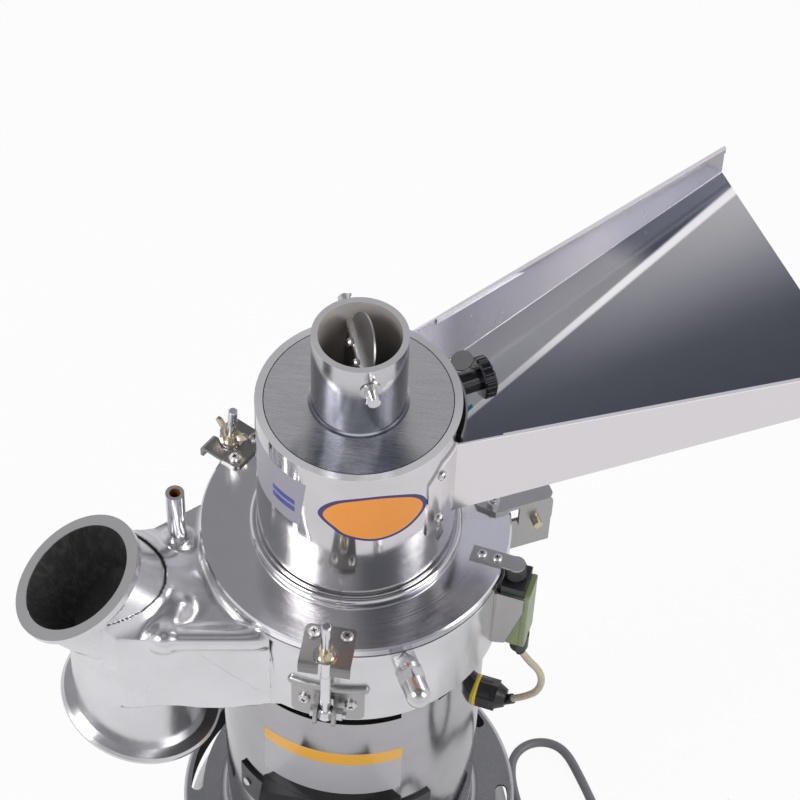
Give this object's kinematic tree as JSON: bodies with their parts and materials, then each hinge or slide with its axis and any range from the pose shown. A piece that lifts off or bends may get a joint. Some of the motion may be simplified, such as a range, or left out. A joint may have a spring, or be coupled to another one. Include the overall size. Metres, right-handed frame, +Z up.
{
  "type": "pulverizer machine",
  "caption": "Upright pulverizer: round motor housing on a footed base, cast grinding chamber with two flanged outlets, hinged lid with drum, gate, sloping hopper and damper neck.",
  "frame": {"origin": "on the floor, on the vertical axis of the motor", "axes": "+Z up along the motor's axis, -Y towards the front with the control box, +X towards the hopper side"},
  "size_m": [0.6705, 0.506, 0.7418],
  "materials": {
    "cast_aluminium": "polished casting",
    "polished_aluminium": "polished",
    "painted_silver": "smooth silver paint",
    "stainless": "brushed and polished sheet",
    "hard_steel": "machined",
    "core_steel": "varnished core",
    "bearing_steel": "ground",
    "chrome_steel": "plated",
    "brassy_steel": "yellow passivated",
    "steel_fastener": "plated",
    "black_rubber": "matte",
    "white_rubber": "matte",
    "yellow_rubber": "matte",
    "black_plastic": "fine texture",
    "black_gloss": "glossy",
    "green_plastic": "smooth",
    "red_plastic": "glossy",
    "cream_cord": "braided",
    "grey_cord": "satin"
  },
  "bodies": {
    "frame": {"base_pan": "cast_aluminium", "rubber_feet": "black_rubber", "body_screws": "steel_fastener", "motor_housing": "painted_silver", "end_bell": "cast_aluminium", "shaft_bearings": "bearing_steel", "stator": "core_steel", "grinding_chamber": "cast_aluminium", "pipe_stub": "stainless", "liner_ring": "hard_steel", "clamp_brackets": "stainless", "chamber_screws": "steel_fastener", "pivot_pins": "steel_fastener", "hinge_bracket": "stainless", "hinge_pin": "steel_fastener", "switch_bracket": "stainless", "switch_body": "green_plastic", "switch_head": "black_plastic", "switch_gland": "black_plastic", "housing_gland": "black_plastic", "gland_ring": "yellow_rubber", "switch_lead": "cream_cord", "side_stud": "steel_fastener", "dome_nut": "chrome_steel", "control_box": "black_plastic", "control_panel": "black_plastic", "mains_gland": "black_plastic", "mains_cord": "grey_cord", "cord_coil": "grey_cord", "mains_plug": "black_plastic"},
    "rotor": {"motor_shaft": "hard_steel", "motor_rotor": "core_steel", "cooling_fan": "black_plastic", "rotor_disc": "hard_steel", "hammers": "hard_steel", "rotor_fasteners": "steel_fastener"},
    "lid": {"lid_disc": "polished_aluminium", "lid_gasket": "white_rubber", "tooth_ring": "hard_steel", "lid_screws": "steel_fastener", "feed_drum": "stainless", "drum_cover": "stainless", "feed_neck": "stainless", "hopper": "stainless", "clamp_plates": "stainless", "hinge_leaf": "stainless", "interlock_tab": "stainless"},
    "damper": {"damper_disc": "stainless", "damper_axle": "stainless", "damper_fasteners": "steel_fastener"},
    "gate": {"gate_plate": "stainless"},
    "knob": {"clamp_knob": "black_gloss"},
    "front_bolt": {"front_swing_bolt": "chrome_steel"},
    "rear_bolt": {"rear_swing_bolt": "chrome_steel"},
    "front_nut": {"front_wing_nut": "brassy_steel"},
    "rear_nut": {"rear_wing_nut": "brassy_steel"},
    "plunger": {"switch_plunger": "black_rubber"},
    "rocker": {"power_rocker": "black_gloss"},
    "button": {"reset_button": "red_plastic"}
  },
  "joints": [
    {"name": "rotor_spin", "type": "hinge", "parent": "frame", "child": "rotor", "pos_m": [0, 0, 0.4], "axis": [0, 0, 1], "continuous": true},
    {"name": "lid_hinge", "type": "hinge", "parent": "frame", "child": "lid", "pos_m": [0.13, 0.0728, 0.4745], "axis": [-0.4886, 0.8725, 0], "range_deg": [0, 95]},
    {"name": "damper_turn", "type": "hinge", "parent": "lid", "child": "damper", "pos_m": [0, 0, 0.711], "axis": [0.3795, -0.9252, 0], "continuous": true},
    {"name": "gate_slide", "type": "slide", "parent": "lid", "child": "gate", "axis": [0, 0, 1], "range_m": [0, 0.05]},
    {"name": "knob_turn", "type": "hinge", "parent": "lid", "child": "knob", "pos_m": [0.08742, 0.05634, 0.632], "axis": [0.8406, 0.5417, 0], "continuous": true},
    {"name": "front_bolt_swing", "type": "hinge", "parent": "frame", "child": "front_bolt", "pos_m": [0, -0.139, 0.414], "axis": [1, 0, 0], "range_deg": [0, 171]},
    {"name": "rear_bolt_swing", "type": "hinge", "parent": "frame", "child": "rear_bolt", "pos_m": [-0.1233, 0.06418, 0.414], "axis": [-0.4617, -0.887, 0], "range_deg": [0, 171]},
    {"name": "front_nut_turn", "type": "hinge", "parent": "front_bolt", "child": "front_nut", "pos_m": [0, -0.139, 0.505], "axis": [0, 0, 1], "continuous": true},
    {"name": "rear_nut_turn", "type": "hinge", "parent": "rear_bolt", "child": "rear_nut", "pos_m": [-0.1233, 0.06418, 0.414], "axis": [0.0619, -0.0322, 0.9976], "continuous": true},
    {"name": "plunger_press", "type": "slide", "parent": "frame", "child": "plunger", "axis": [0, 0, 1], "range_m": [-0.003, 0], "stiffness_N_per_m": 300, "springref_m": 0.003},
    {"name": "rocker_tilt", "type": "hinge", "parent": "frame", "child": "rocker", "pos_m": [-0.022, -0.171, 0.15], "axis": [-1, 0, 0], "range_deg": [0, 14]},
    {"name": "button_press", "type": "slide", "parent": "frame", "child": "button", "axis": [0, 1, 0], "range_m": [0, 0.003], "stiffness_N_per_m": 300, "springref_m": -0.003}
  ],
  "couplings": [
    {"joint": "front_bolt_swing", "follows": "lid_hinge", "ratio": 1.8},
    {"joint": "rear_bolt_swing", "follows": "lid_hinge", "ratio": 1.8}
  ]
}
